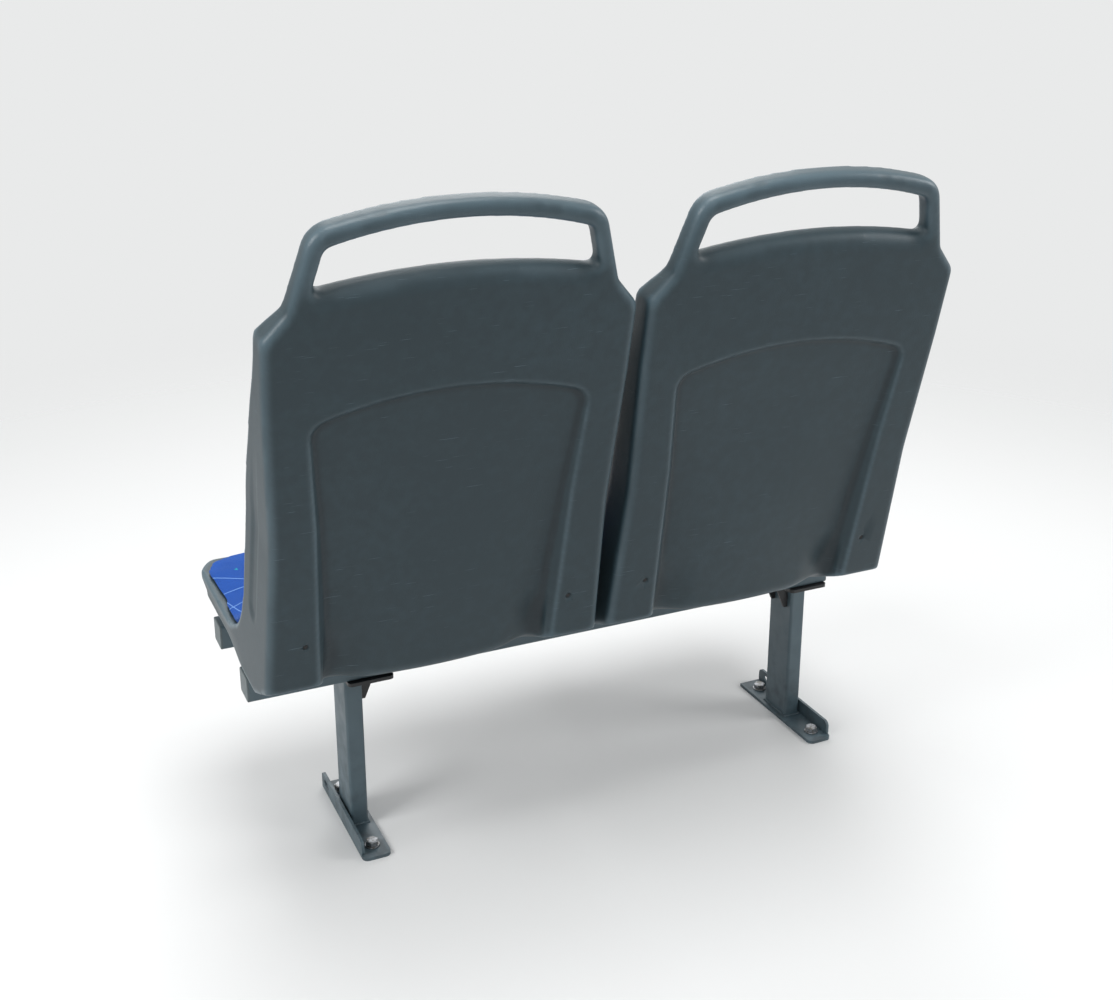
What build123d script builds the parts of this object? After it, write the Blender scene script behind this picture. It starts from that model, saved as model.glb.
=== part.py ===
from build123d import *
import os
from math import atan2, cos, radians, sin, tan

os.makedirs("parts", exist_ok=True)

# Twin passenger seat of a city bus, in millimetres.
# +X is the aisle side, -Y is the way a passenger faces, +Z is up.
# The origin is the centre of the floor bolt pattern, on the underside of the feet.

# Layout of the pair
leg_spacing = 717.0
aisle_leg_inset = 150.5
shell_rear_to_feet = 205.0
seat_gap = 14.0
fit_gap = 0.4

# Outline of a shell square to its leaning back: its shoulder, and the steps from there
recline = 12.5
shoulder_half_width = 217.0
upper_inset = 1.0
lower_inset = 7.0
pan_outset = 3.0
notch_inset = 27.0
handle_inset = 52.0
shoulder_height = 462.0
upper_drop = 90.0
lower_drop = 262.0
notch_rise = 31.0
lip_height = 18.5
slot_height = 48.5
bar_height = 19.5
handle_arch = 23.5
handle_corner_radius = 34.0
shoulder_radius = 15.0
taper_radius = 260.0

# Grab slot under the handle bar
slot_low_inset = 27.0
slot_high_inset = 15.0
slot_low_arch = 15.5
slot_high_arch = 22.0
slot_low_radius = 6.0
slot_high_radius = 14.0
slot_rear_radius = 8.0
slot_front_radius = 7.0

# Side view of a shell: depths in front of the rear face, reaches forward of its rear bottom edge
handle_depth = 28.0
shoulder_step = 10.0
wing_step = 4.0
wing_drop = 40.0
wing_knee_drop = 235.0
wing_knee_depth = 114.0
wing_foot_reach = 124.0
wing_foot_radius = 120.0
wing_top_radius = 200.0
pan_floor_height = 323.0
pan_wall = 13.0
rear_edge_rise = 13.0
rim_rear_rise = 19.0
rim_front_rise = 26.0
pan_length = 412.0
pan_nose_reach = 14.0
pan_nose_drop = 17.0
pan_nose_radius = 8.0
pan_under_reach = 62.0
pan_corner_radius = 62.0
rear_edge_radius = 10.0

# Hollow of a shell that the upholstery lines, its floor stepping in from the rim
rim_width = 10.0
back_floor_depth = 27.0
bucket_radius = 84.0
bucket_top_step = 7.0
bucket_wing_step = 12.0
bucket_waist_step = 42.0
bucket_foot_step = 66.5
bucket_foot_drop = 462.0
bucket_top_rise = 4.0
recess_side_rise = 12.0
recess_arch = 36.0
recess_radius = 30.0
tray_rear_reach = 24.0
tray_wide_reach = 150.0
tray_rim_rear_step = 64.5
tray_floor_rear_step = 84.5
tray_floor_step = 54.5
tray_floor_front = 32.0
tray_floor_radius = 40.0

# Panel pressed into the rear of a shell
column_low_width = 60.0
column_middle_width = 52.0
column_high_width = 49.0
panel_middle_drop = 240.0
panel_side_drop = 104.0
panel_arch = 29.0
panel_radius = 24.0
panel_middle_radius = 300.0
panel_top_depth = 5.0
panel_low_depth = 15.0
panel_deep_drop = 330.0
panel_wall_slope = 38.0
panel_belly_radius = 12.0

# Upholstery
pad_thickness = 22.0
pad_proud = 8.0

# Cross tubes and the bearers that carry the shells
tube_depth = 40.0
tube_height = 35.0
tube_wall = 2.0
tube_corner_radius = 4.0
front_tube_inset = 87.0
tube_row = 160.0
bearer_width = 32.0
bearer_wall = 3.0
bearer_spread = 190.0
bearer_height = 24.0
bearer_front_end = 35.0
bearer_rear_end = 60.0
cap_head = 3.0
cap_plug = 14.0

# Legs, saddles and feet
post_width = 25.0
post_depth = 60.0
post_wall = 2.5
post_corner_radius = 4.0
post_offset = -31.0
saddle_plate = 5.0
saddle_overlap = 6.0
gusset_thickness = 4.0
gusset_drop = 52.0
gusset_spread = 26.0
gusset_row = 34.0
foot_length = 204.0
foot_width = 40.0
foot_plate = 5.0
foot_flange_height = 26.0
foot_flange_wall = 4.0
foot_end_radius = 9.0
bolt_row = 150.0
bolt_hole = 11.0
flange_slot_length = 22.0
flange_slot_height = 9.0
flange_slot_from_end = 24.0

# Widths and heights of a shell worked out from the sizes above
lean = radians(recline)
upper_half_width = shoulder_half_width - upper_inset
lower_half_width = shoulder_half_width - lower_inset
pan_half_width = shoulder_half_width + pan_outset
notch_half_width = shoulder_half_width - notch_inset
handle_half_width = shoulder_half_width - handle_inset
upper_height = shoulder_height - upper_drop
lower_height = shoulder_height - lower_drop
pan_side_height = -pan_length / 4
notch_height = shoulder_height + notch_rise
slot_low_height = notch_height + lip_height
slot_high_height = slot_low_height + slot_height
handle_side_height = slot_high_height + bar_height
handle_top_height = handle_side_height + handle_arch
shoulder_depth = handle_depth + shoulder_step
wing_top_depth = shoulder_depth + wing_step
wing_top_height = shoulder_height - wing_drop
wing_knee_height = shoulder_height - wing_knee_drop
pan_under_height = pan_floor_height - pan_wall
shell_rear_height = pan_floor_height + rear_edge_rise
rim_rear_height = pan_floor_height + rim_rear_rise
rim_front_height = pan_floor_height + rim_front_rise

# Places of the shells, tubes and legs worked out from the sizes above
seat_pitch = 2 * shoulder_half_width + seat_gap
aisle_leg_x = leg_spacing / 2
aisle_shell_x = aisle_leg_x + aisle_leg_inset - lower_half_width
window_shell_x = aisle_shell_x - seat_pitch
shell_places = {"aisle": aisle_shell_x, "window": window_shell_x}
leg_places = {"aisle": aisle_leg_x, "window": -aisle_leg_x}
front_tube_reach = pan_length - front_tube_inset
rear_tube_reach = front_tube_reach - tube_row
bearer_front_reach = front_tube_reach + bearer_front_end
bearer_rear_reach = rear_tube_reach - bearer_rear_end
post_reach = (front_tube_reach + rear_tube_reach) / 2 + post_offset
tube_aisle_x = aisle_shell_x + lower_half_width - cap_head
tube_window_x = -aisle_leg_x - post_width / 2 - saddle_overlap
bearer_top = pan_under_height
tube_top = bearer_top - bearer_height
saddle_top = tube_top - tube_height
beyond = 60.0
clear_half_width = shoulder_half_width + beyond


def on_back(height, forward):
    """Y and Z of a point that far up the leaning back and that far in front of its rear face."""
    y = shell_rear_to_feet + height * sin(lean) - forward * cos(lean)
    z = shell_rear_height + height * cos(lean) + forward * sin(lean)
    return (y, z)


def reach(forward, z):
    """Y and Z of a point that far forward of the shell's rear bottom edge."""
    return (shell_rear_to_feet - forward, z)


def back_plane(x):
    """Plane of a shell's rear face: local Y runs up the back, the normal points forward."""
    y, z = on_back(0, 0)
    return Plane(origin=(x, y, z), x_dir=(1, 0, 0), z_dir=(0, -cos(lean), sin(lean)))


def across_back(x, height):
    """Plane square to the back at a height: local Y runs forward from the rear face."""
    y, z = on_back(height, 0)
    return Plane(origin=(x, y, z), x_dir=(1, 0, 0), z_dir=(0, -sin(lean), -cos(lean)))


def side_plane(x):
    """Plane that cuts the seat at x, with local X along Y and local Y up."""
    return Plane(origin=(x, 0, 0), x_dir=(0, 1, 0), z_dir=(1, 0, 0))


def level_plane(x, z):
    """Level plane at a height, centred on a shell or leg at x."""
    return Plane(origin=(x, 0, z), x_dir=(1, 0, 0), z_dir=(0, 0, 1))


def near(sketch, *points):
    """The vertices of a sketch that lie at the named points."""
    return [sketch.vertices().sort_by_distance((a, b, 0))[0] for a, b in points]


def both_sides(*points):
    """The same points on the right and on the left."""
    return [*points, *[(-a, b) for a, b in points]]


def back_outline():
    """Outline of a shell square to its back, run out below the pan."""
    handle = (handle_half_width, handle_side_height)
    notch = (notch_half_width, notch_height)
    shoulder = (shoulder_half_width, shoulder_height)
    upper = (upper_half_width, upper_height)
    lower = (lower_half_width, lower_height)
    pan = (pan_half_width, pan_side_height)
    with BuildSketch() as outline:
        with BuildLine():
            below = -pan_length / 2
            right = Polyline((0, below), (pan_half_width, below), pan, lower, upper, shoulder, notch, handle)
            mirror(right, about=Plane.YZ)
            ThreePointArc(handle, (0, handle_top_height), (-handle_half_width, handle_side_height))
        make_face()
        fillet(near(outline, *both_sides(handle)), handle_corner_radius)
        fillet(near(outline, *both_sides(notch)), shoulder_radius)
        fillet(near(outline, *both_sides(shoulder)), shoulder_radius)
        fillet(near(outline, *both_sides(upper, lower, pan)), taper_radius)
    return outline.sketch


def slot_outline():
    """Grab slot under the handle bar, its lower and upper edges arched."""
    low = (notch_half_width - slot_low_inset, slot_low_height)
    high = (handle_half_width - slot_high_inset, slot_high_height)
    with BuildSketch() as outline:
        with BuildLine():
            lower = ThreePointArc((-low[0], low[1]), (0, slot_low_height + slot_low_arch), low)
            upper = ThreePointArc(high, (0, slot_high_height + slot_high_arch), (-high[0], high[1]))
            Line(lower @ 1, upper @ 0)
            Line(upper @ 1, lower @ 0)
        make_face()
        fillet(near(outline, *both_sides(low)), slot_low_radius)
        fillet(near(outline, *both_sides(high)), slot_high_radius)
    return outline.sketch


def side_outline(proud):
    """Side view of a shell, with its front and upper edge moved out by proud."""
    wing_top = on_back(wing_top_height, wing_top_depth + proud)
    wing_knee = on_back(wing_knee_height, wing_knee_depth + proud)
    wing_foot = reach(wing_foot_reach + proud, rim_rear_height + proud)
    rim_front = reach(pan_length - pan_nose_reach, rim_front_height + proud)
    nose = reach(pan_length, rim_front_height - pan_nose_drop)
    nose_under = reach(pan_length - pan_nose_reach, pan_under_height)
    with BuildSketch() as outline:
        with BuildLine():
            Polyline(
                on_back(handle_top_height + beyond, 0),
                on_back(handle_top_height + beyond, handle_depth + proud),
                on_back(notch_height, handle_depth + proud),
                on_back(shoulder_height, shoulder_depth + proud),
                wing_top,
                wing_knee,
                wing_foot,
                rim_front,
                nose,
                nose_under,
                reach(pan_under_reach, pan_under_height),
                on_back(0, 0),
                close=True,
            )
        make_face()
        fillet(near(outline, wing_foot), wing_foot_radius)
        fillet(near(outline, wing_top, wing_knee), wing_top_radius)
        fillet(near(outline, rim_front, nose, nose_under), pan_nose_radius)
    return outline.sketch


def pan_outline():
    """Plan of a shell, with rounded front corners, open where the back is wider."""
    with BuildSketch() as outline:
        with Locations(reach(-handle_top_height / 2, 0)[::-1]):
            Rectangle(2 * (shoulder_half_width + beyond), handle_top_height)
        with Locations((0, shell_rear_to_feet - pan_length / 2)):
            Rectangle(2 * pan_half_width, pan_length)
        fillet(outline.vertices().group_by(Axis.Y)[0], pan_corner_radius)
    return outline.sketch


def bucket_side(offset):
    """Side view of the space in front of the bucket's floor, moved in by offset."""
    forward = back_floor_depth + offset
    floor = pan_floor_height + offset
    foot = on_back((floor - shell_rear_height) / cos(lean) - forward * tan(lean), forward)
    with BuildSketch() as outline:
        with BuildLine():
            Polyline(
                on_back(handle_top_height, forward),
                foot,
                reach(pan_length + beyond, floor),
                reach(pan_length + beyond, shell_rear_height + handle_top_height),
                close=True,
            )
        make_face()
        fillet(near(outline, foot), bucket_radius - offset)
    return outline.sketch


def recess_outline(offset):
    """Outline of the upholstered hollow square to the back, moved in by offset."""
    inset = rim_width + offset
    corner = (upper_half_width - inset, shoulder_height + recess_side_rise - offset)
    pan = (pan_half_width - inset, pan_side_height)
    lower = (lower_half_width - inset, lower_height)
    upper = (corner[0], upper_height)
    with BuildSketch() as outline:
        with BuildLine():
            right = Polyline((0, -pan_length), (pan[0], -pan_length), pan, lower, upper, corner)
            mirror(right, about=Plane.YZ)
            ThreePointArc(corner, (0, corner[1] + recess_arch), (-corner[0], corner[1]))
        make_face()
        fillet(near(outline, *both_sides(corner)), recess_radius)
    return outline.sketch


def wing_depth(height):
    """Depth of a wing's front edge at a height below its knee."""
    foot_back = wing_foot_reach * cos(lean) + (rim_rear_height - shell_rear_height) * sin(lean)
    foot_up = (rim_rear_height - shell_rear_height) * cos(lean) - wing_foot_reach * sin(lean)
    share = (wing_knee_height - height) / (wing_knee_height - foot_up)
    return wing_knee_depth + (foot_back - wing_knee_depth) * share


def side_half_width(height):
    """Half width of a shell at a height below its waist."""
    share = (lower_height - height) / (lower_height - pan_side_height)
    return lower_half_width + (pan_half_width - lower_half_width) * share


# Sections of the bucket from the handle down: height, half width of the rim, step to the floor, rim depth
upper_rim = upper_half_width - rim_width
lower_rim = lower_half_width - rim_width
pan_rim = pan_half_width - rim_width
foot_height = shoulder_height - bucket_foot_drop
bucket_sections = [
    (handle_side_height, upper_rim, bucket_top_step, handle_depth + bucket_top_rise),
    (wing_top_height, upper_rim, bucket_wing_step, wing_top_depth),
    (wing_knee_height, lower_rim, bucket_waist_step, wing_knee_depth),
    (foot_height, side_half_width(foot_height) - rim_width, bucket_foot_step, wing_depth(foot_height)),
]


def bucket_section(rim_half, floor_step, rim_depth, offset):
    """Section of the bucket square to its back, moved in by offset, its walls run on past floor and rim."""
    wall_rise = rim_depth - back_floor_depth
    inward = offset * tan(atan2(wall_rise, floor_step) / 2)
    outer_half = rim_half + rim_width - inward
    right = [
        (rim_half - 2 * floor_step - inward, back_floor_depth + offset - wall_rise),
        (outer_half, rim_depth + offset + wall_rise * rim_width / floor_step),
        (outer_half, pan_length),
    ]
    left = [(-a, b) for a, b in reversed(right)]
    with BuildSketch() as section:
        with BuildLine():
            Polyline(*right, *left, close=True)
        make_face()
    return section.sketch


def tray_section(rear_half, half, front, radius):
    """Plan of the bucket at one level of the pan, narrow between the wings."""
    right = [
        (rear_half, shell_rear_to_feet - tray_rear_reach),
        (half, shell_rear_to_feet - tray_wide_reach),
        (half, shell_rear_to_feet - front),
    ]
    left = [(-a, b) for a, b in reversed(right)]
    with BuildSketch() as section:
        with BuildLine():
            Polyline(*right, *left, close=True)
        make_face()
        fillet(near(section, *both_sides(right[2])), radius)
    return section.sketch


def bucket_limits(x, offset):
    """The room in front of the bucket's floor and inside its rim, moved in by offset."""
    with BuildPart() as room:
        with BuildSketch(side_plane(x - clear_half_width)):
            add(bucket_side(offset))
        extrude(amount=2 * clear_half_width)
        with BuildSketch(back_plane(x)):
            add(recess_outline(offset))
        extrude(amount=pan_length + beyond, mode=Mode.INTERSECT)
    return room.part


def back_hollow(x, offset):
    """The hollow between the wings of the back."""
    with BuildPart() as space:
        for height, rim_half, floor_step, rim_depth in bucket_sections:
            with BuildSketch(across_back(x, height)):
                add(bucket_section(rim_half, floor_step, rim_depth, offset))
        loft(ruled=True)
        add(bucket_limits(x, offset), mode=Mode.INTERSECT)
    return space.part


def tray_hollow(x, offset):
    """The hollow over the pan, its sides sloping in to the floor."""
    rim_front = pan_length - pan_nose_reach - rim_width - offset
    inward = offset / 3
    floor_rear, floor_half = pan_rim - tray_floor_rear_step - inward, pan_rim - tray_floor_step - inward
    rim_rear, rim_half = pan_rim - tray_rim_rear_step - inward, pan_rim - offset
    floor = tray_section(floor_rear, floor_half, rim_front - tray_floor_front, tray_floor_radius - inward)
    rim = tray_section(rim_rear, rim_half, rim_front, pan_corner_radius - rim_width - offset)
    with BuildPart() as space:
        with BuildSketch(level_plane(x, pan_floor_height + offset)):
            add(floor)
        with BuildSketch(level_plane(x, rim_front_height + offset)):
            add(rim)
        loft(ruled=True)
        with BuildSketch(level_plane(x, rim_front_height + offset)):
            add(rim)
        extrude(amount=beyond)
        with BuildSketch(level_plane(x, pan_floor_height + offset)):
            add(floor)
        extrude(amount=-beyond)
        add(bucket_limits(x, offset), mode=Mode.INTERSECT)
    return space.part


def bucket(x, offset):
    """The hollow of a shell that the upholstery lines, moved in by offset."""
    with BuildPart() as space:
        add(back_hollow(x, offset))
        add(tray_hollow(x, offset))
    return space.part


def panel_outline():
    """Outline of the panel pressed into the rear face, its top arched, open at the bottom."""
    low = (lower_half_width - column_low_width, -beyond)
    middle = (lower_half_width - column_middle_width, shoulder_height - panel_middle_drop)
    corner = (upper_half_width - column_high_width, shoulder_height - panel_side_drop)
    with BuildSketch() as outline:
        with BuildLine():
            right = Polyline((0, -beyond), low, middle, corner)
            mirror(right, about=Plane.YZ)
            ThreePointArc(corner, (0, corner[1] + panel_arch), (-corner[0], corner[1]))
        make_face()
        fillet(near(outline, *both_sides(corner)), panel_radius)
        fillet(near(outline, *both_sides(middle)), panel_middle_radius)
    return outline.sketch


def belly_point():
    """Y and Z where the panel's floor runs out under the seat."""
    top = shoulder_height - panel_side_drop + panel_arch
    deep = shoulder_height - panel_deep_drop
    depth = panel_top_depth + (panel_low_depth - panel_top_depth) * top / (top - deep)
    drop = (shell_rear_height - pan_under_height) * depth / pan_under_reach
    return reach(depth, shell_rear_height - drop)


def panel_space(x):
    """Space of the panel pressed into the rear face, shallow at its top."""
    shallow = on_back(shoulder_height - panel_side_drop + panel_arch, panel_top_depth)
    deep = on_back(shoulder_height - panel_deep_drop, panel_low_depth)
    rise = (deep[0] - shallow[0], deep[1] - shallow[1])
    with BuildPart() as space:
        with BuildSketch(back_plane(x)):
            add(panel_outline())
        extrude(amount=panel_low_depth + panel_top_depth, taper=panel_wall_slope)
        floor = Plane(origin=(x, *shallow), x_dir=(1, 0, 0), z_dir=(0, -rise[1], rise[0]))
        split(bisect_by=floor, keep=Keep.TOP)
    return space.part


# Shells, each one blow-moulded piece with its grab handle
for side, x in shell_places.items():
    with BuildPart() as shell:
        with BuildSketch(back_plane(x)):
            add(back_outline())
            add(slot_outline(), mode=Mode.SUBTRACT)
        extrude(amount=pan_length + beyond)
        rear = shell.faces().filter_by(back_plane(x)).sort_by(Axis.Y)[-1]
        outer_edges = rear.outer_wire().edges().filter_by(lambda e: e.center().Z > shell_rear_height / 2)
        fillet(outer_edges, rear_edge_radius)
        rear = shell.faces().filter_by(back_plane(x)).sort_by(Axis.Y)[-1]
        fillet(rear.inner_wires()[0].edges(), slot_rear_radius)
        with BuildSketch(side_plane(x - clear_half_width)):
            add(side_outline(0))
        extrude(amount=2 * clear_half_width, mode=Mode.INTERSECT)
        with BuildSketch(level_plane(x, 0)):
            add(pan_outline())
        extrude(amount=shell_rear_height + 2 * handle_top_height, mode=Mode.INTERSECT)
        add(bucket(x, 0), mode=Mode.SUBTRACT)
        handle_front = shell.faces().filter_by(back_plane(x)).sort_by(Axis.Z)[-1]
        fillet(handle_front.inner_wires()[0].edges(), slot_front_radius)
        add(panel_space(x), mode=Mode.SUBTRACT)
        belly = shell.edges().filter_by(Axis.X).sort_by_distance((x, *belly_point()))[0]
        fillet(belly, panel_belly_radius)
    shell.part.label = f"{side}_shell"
    export_step(shell.part, f"parts/{side}_shell.step")


def crease_plane(x, gap):
    """Plane through the crease between the two pads, its normal towards the back pad."""
    y, z = on_back((pan_floor_height - shell_rear_height) / cos(lean), back_floor_depth)
    normal = (0, cos(lean), 1 - sin(lean))
    return Plane(origin=(x, y, z), x_dir=(1, 0, 0), z_dir=normal).offset(gap)


def padding(x):
    """The upholstery of one seat in one piece, as thick as its pads."""
    with BuildPart() as lining:
        add(bucket(x, fit_gap))
        add(bucket(x, fit_gap + pad_thickness), mode=Mode.SUBTRACT)
        with BuildSketch(side_plane(x - clear_half_width)):
            add(side_outline(pad_proud))
        extrude(amount=2 * clear_half_width, mode=Mode.INTERSECT)
    return lining.part


# Upholstered pads of the back and the seat, parted at the crease
for side, x in shell_places.items():
    with BuildPart() as back_pad:
        add(padding(x))
        split(bisect_by=crease_plane(x, fit_gap / 2), keep=Keep.TOP)
    back_pad.part.label = f"{side}_back_pad"
    export_step(back_pad.part, f"parts/{side}_back_pad.step")
    with BuildPart() as seat_pad:
        add(padding(x))
        split(bisect_by=crease_plane(x, -fit_gap / 2), keep=Keep.BOTTOM)
    seat_pad.part.label = f"{side}_seat_pad"
    export_step(seat_pad.part, f"parts/{side}_seat_pad.step")

# Bearers under the pans, channels open downwards that lie on the cross tubes
for side, x in shell_places.items():
    for place, step in (("inner", -0.5), ("outer", 0.5)):
        bearer_x = x + step * bearer_spread
        with BuildPart() as bearer:
            front_y, _ = reach(bearer_front_reach, 0)
            front = Plane(origin=(bearer_x, front_y, 0), x_dir=(-1, 0, 0), z_dir=(0, 1, 0))
            with BuildSketch(front) as section:
                with Locations((0, bearer_top - bearer_height / 2)):
                    Rectangle(bearer_width, bearer_height)
                fillet(section.vertices().group_by(Axis.Z)[-1], bearer_wall)
                with Locations((0, bearer_top - bearer_height / 2 - bearer_wall)):
                    Rectangle(bearer_width - 2 * bearer_wall, bearer_height, mode=Mode.SUBTRACT)
            extrude(amount=bearer_front_reach - bearer_rear_reach)
        bearer.part.label = f"{side}_{place}_bearer"
        export_step(bearer.part, f"parts/{side}_{place}_bearer.step")

# Cross tubes through both seats, with a plastic cap in each end
for row, forward in (("front", front_tube_reach), ("rear", rear_tube_reach)):
    tube_y, tube_z = reach(forward, tube_top - tube_height / 2)
    with BuildPart() as tube:
        with BuildSketch(Plane(origin=(tube_window_x, tube_y, tube_z), x_dir=(0, 1, 0), z_dir=(1, 0, 0))):
            RectangleRounded(tube_depth, tube_height, tube_corner_radius)
            RectangleRounded(
                tube_depth - 2 * tube_wall,
                tube_height - 2 * tube_wall,
                tube_corner_radius - tube_wall / 2,
                mode=Mode.SUBTRACT,
            )
        extrude(amount=tube_aisle_x - tube_window_x)
    tube.part.label = f"{row}_cross_tube"
    export_step(tube.part, f"parts/{row}_cross_tube.step")
    for side, end_x, out in (("aisle", tube_aisle_x, 1), ("window", tube_window_x, -1)):
        with BuildPart() as cap:
            end = Plane(origin=(end_x, tube_y, tube_z), x_dir=(0, 1, 0), z_dir=(out, 0, 0))
            with BuildSketch(end):
                RectangleRounded(tube_depth, tube_height, tube_corner_radius)
            extrude(amount=cap_head)
            fillet(cap.faces().sort_by(Axis.X)[-1 if out > 0 else 0].edges(), cap_head / 2)
            with BuildSketch(end):
                RectangleRounded(
                    tube_depth - 2 * tube_wall - 2 * fit_gap,
                    tube_height - 2 * tube_wall - 2 * fit_gap,
                    tube_corner_radius - tube_wall / 2,
                )
            extrude(amount=-cap_plug)
        cap.part.label = f"{row}_tube_{side}_cap"
        export_step(cap.part, f"parts/{row}_tube_{side}_cap.step")

# Legs, each a foot, a post and a saddle under the tubes, with the gusset towards the middle
for side, x in leg_places.items():
    outboard = 1 if x > 0 else -1
    post_y, _ = reach(post_reach, 0)
    with BuildPart() as foot:
        with BuildSketch(Plane.XY) as plate:
            with Locations((x, 0)):
                Rectangle(foot_width, foot_length)
            fillet(plate.vertices().group_by(Axis.Y)[-1], foot_end_radius)
        extrude(amount=foot_plate)
        flange_x = x + outboard * (foot_width - foot_flange_wall) / 2
        with BuildSketch(side_plane(flange_x)) as flange:
            with Locations((-foot_end_radius / 2, foot_flange_height / 2)):
                Rectangle(foot_length - foot_end_radius, foot_flange_height)
            fillet(flange.vertices().group_by(Axis.Z)[-1], foot_flange_height / 3)
            with Locations((flange_slot_from_end - foot_length / 2, (foot_flange_height + foot_plate) / 2)):
                SlotOverall(flange_slot_length, flange_slot_height, mode=Mode.SUBTRACT)
        extrude(amount=foot_flange_wall / 2, both=True)
        with Locations((x, -bolt_row / 2, foot_plate), (x, bolt_row / 2, foot_plate)):
            Hole(bolt_hole / 2, depth=foot_plate)
    foot.part.label = f"{side}_foot"
    export_step(foot.part, f"parts/{side}_foot.step")

    with BuildPart() as post:
        with BuildSketch(Plane.XY.offset(foot_plate)):
            with Locations((x, post_y)):
                RectangleRounded(post_width, post_depth, post_corner_radius)
                RectangleRounded(
                    post_width - 2 * post_wall,
                    post_depth - 2 * post_wall,
                    post_corner_radius / 2,
                    mode=Mode.SUBTRACT,
                )
        extrude(amount=saddle_top - saddle_plate - foot_plate)
    post.part.label = f"{side}_post"
    export_step(post.part, f"parts/{side}_post.step")

    with BuildPart() as saddle:
        plate_rear_y, _ = reach(rear_tube_reach - tube_depth / 2 - saddle_overlap, 0)
        plate_front_y, _ = reach(front_tube_reach + tube_depth / 2 + saddle_overlap, 0)
        inner_x = x - outboard * (post_width / 2 + gusset_spread + saddle_overlap)
        outer_x = x + outboard * (post_width / 2 + saddle_overlap)
        with BuildSketch(Plane.XY.offset(saddle_top - saddle_plate)):
            with Locations(((inner_x + outer_x) / 2, (plate_rear_y + plate_front_y) / 2)):
                Rectangle(abs(outer_x - inner_x), plate_rear_y - plate_front_y)
        extrude(amount=saddle_plate)
        fillet(saddle.edges().filter_by(Axis.Z), saddle_overlap)
        face_x = x - outboard * (post_width / 2 + fit_gap)
        tip_x = face_x - outboard * gusset_spread
        for gusset_y in (post_y - gusset_row / 2, post_y + gusset_row / 2):
            with BuildSketch(Plane(origin=(0, gusset_y, 0), x_dir=(1, 0, 0), z_dir=(0, -1, 0))):
                with BuildLine():
                    under = saddle_top - saddle_plate
                    Polyline(
                        (face_x, under),
                        (tip_x, under),
                        (tip_x, under - saddle_overlap),
                        (face_x - outboard * saddle_overlap, under - gusset_drop),
                        (face_x, under - gusset_drop),
                        close=True,
                    )
                make_face()
            extrude(amount=gusset_thickness / 2, both=True)
    saddle.part.label = f"{side}_saddle"
    export_step(saddle.part, f"parts/{side}_saddle.step")
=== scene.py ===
"""Look of a city bus twin passenger seat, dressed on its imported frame.

Lengths are metres in the row frame: +Z up, -Y the way a passenger faces, +X towards the aisle.
"""
from __future__ import annotations

import logging
import math
from collections.abc import Callable, Iterable, Sequence
from dataclasses import dataclass
from enum import Enum
from functools import partial

import bmesh
import bpy
import numpy as np
from mathutils import Matrix, Vector
from mathutils.bvhtree import BVHTree

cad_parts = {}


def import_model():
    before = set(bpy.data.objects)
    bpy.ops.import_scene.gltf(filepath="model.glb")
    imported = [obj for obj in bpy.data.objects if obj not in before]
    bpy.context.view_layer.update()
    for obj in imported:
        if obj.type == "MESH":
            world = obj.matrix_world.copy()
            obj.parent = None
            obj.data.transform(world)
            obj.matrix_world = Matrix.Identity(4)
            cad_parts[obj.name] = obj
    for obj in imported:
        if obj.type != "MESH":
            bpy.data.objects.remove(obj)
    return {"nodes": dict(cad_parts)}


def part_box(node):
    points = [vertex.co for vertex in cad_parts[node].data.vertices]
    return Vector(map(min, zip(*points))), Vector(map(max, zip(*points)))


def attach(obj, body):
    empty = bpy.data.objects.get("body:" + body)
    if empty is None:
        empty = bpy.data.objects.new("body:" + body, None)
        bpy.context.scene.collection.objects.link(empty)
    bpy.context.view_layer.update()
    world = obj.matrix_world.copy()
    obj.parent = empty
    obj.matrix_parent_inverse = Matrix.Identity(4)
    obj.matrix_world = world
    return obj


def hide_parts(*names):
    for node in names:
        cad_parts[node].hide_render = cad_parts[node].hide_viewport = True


logging.basicConfig(level=logging.INFO, format="%(message)s")
log = logging.getLogger("seat")

MM = 0.001
RECLINE = math.radians(12.5)
REAR_EDGE = (0.205, 0.336)  # Y and Z of a shell's rear bottom edge
PAN_RIM = 0.345  # level of a pan's rim, where its pad begins
SHOULDER = 0.462  # height of a shell's shoulder up its leaning back

Band = tuple[float, float]  # where an effect is nought, and where it is whole


class Side(Enum):
    """The two seats of the pair, and the two legs."""

    AISLE = "aisle"
    WINDOW = "window"


# ---------------------------------------------------------------- helpers


def on_back(height: float, forward: float) -> tuple[float, float]:
    """Y and Z of a point that far up the leaning back and that far in front of its rear face.

    Args:
        height: distance up the back from the rear bottom edge.
        forward: distance in front of the rear face.

    Returns:
        The point's Y and Z.
    """
    y = REAR_EDGE[0] + height * math.sin(RECLINE) - forward * math.cos(RECLINE)
    z = REAR_EDGE[1] + height * math.cos(RECLINE) + forward * math.sin(RECLINE)
    return y, z


def back_coordinates(points: np.ndarray) -> tuple[np.ndarray, np.ndarray]:
    """Height up the back and distance in front of its rear face, of each point.

    Args:
        points: an array of n by 3 places.

    Returns:
        The heights and the distances.
    """
    dy, dz = points[:, 1] - REAR_EDGE[0], points[:, 2] - REAR_EDGE[1]
    height = dy * math.sin(RECLINE) + dz * math.cos(RECLINE)
    forward = -dy * math.cos(RECLINE) + dz * math.sin(RECLINE)
    return height, forward


def ease(values: np.ndarray, nought: float, whole: float) -> np.ndarray:
    """Smooth step from 0 to 1, either way up."""
    t = np.clip((values - nought) / (whole - nought), 0.0, 1.0)
    return t * t * (3.0 - 2.0 * t)


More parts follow.
